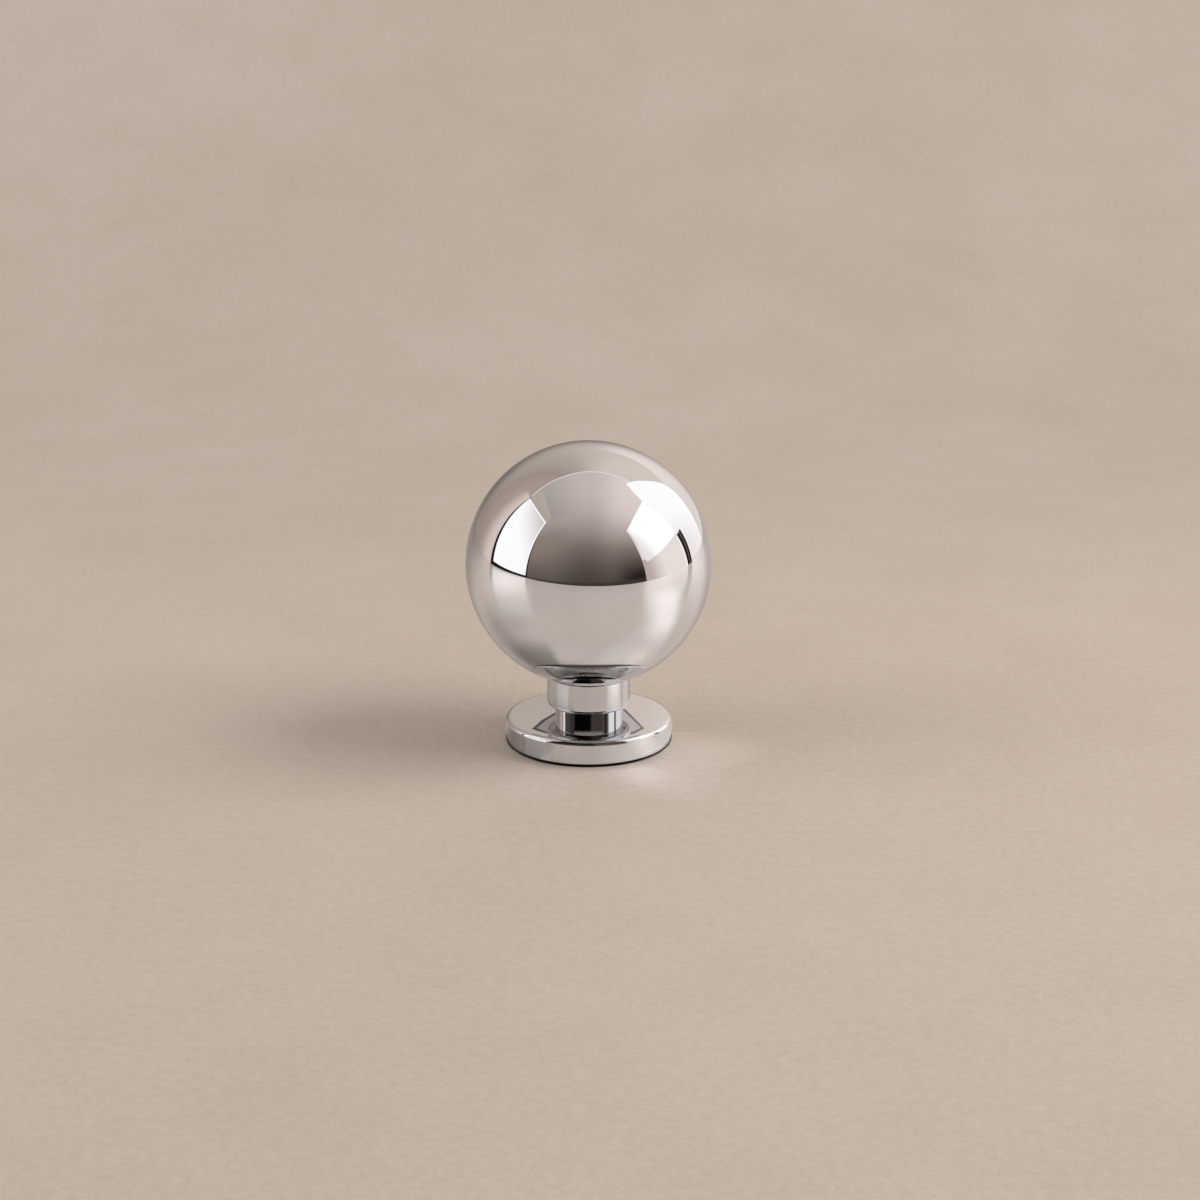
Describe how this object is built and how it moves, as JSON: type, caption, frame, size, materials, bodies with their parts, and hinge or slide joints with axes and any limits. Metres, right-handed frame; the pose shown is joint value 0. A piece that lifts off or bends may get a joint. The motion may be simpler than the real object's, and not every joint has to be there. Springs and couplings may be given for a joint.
{
  "type": "ball knob",
  "caption": "Polished chrome ball knob: a mirror ball on a short collar and neck over a round base disc, tapped underneath for a fixing screw.",
  "frame": {"origin": "centre of the base disc's underside, in the plane that meets the door or drawer front", "axes": "+Z along the knob's axis, from the underside up through the ball"},
  "size_m": [0.03, 0.03, 0.0376],
  "materials": {
    "ball_chrome": "mirror polished chrome plating on brass",
    "base_chrome": "mirror polished chrome plating on brass"
  },
  "bodies": {
    "root": {"ball": "ball_chrome", "base": "base_chrome"}
  },
  "joints": []
}
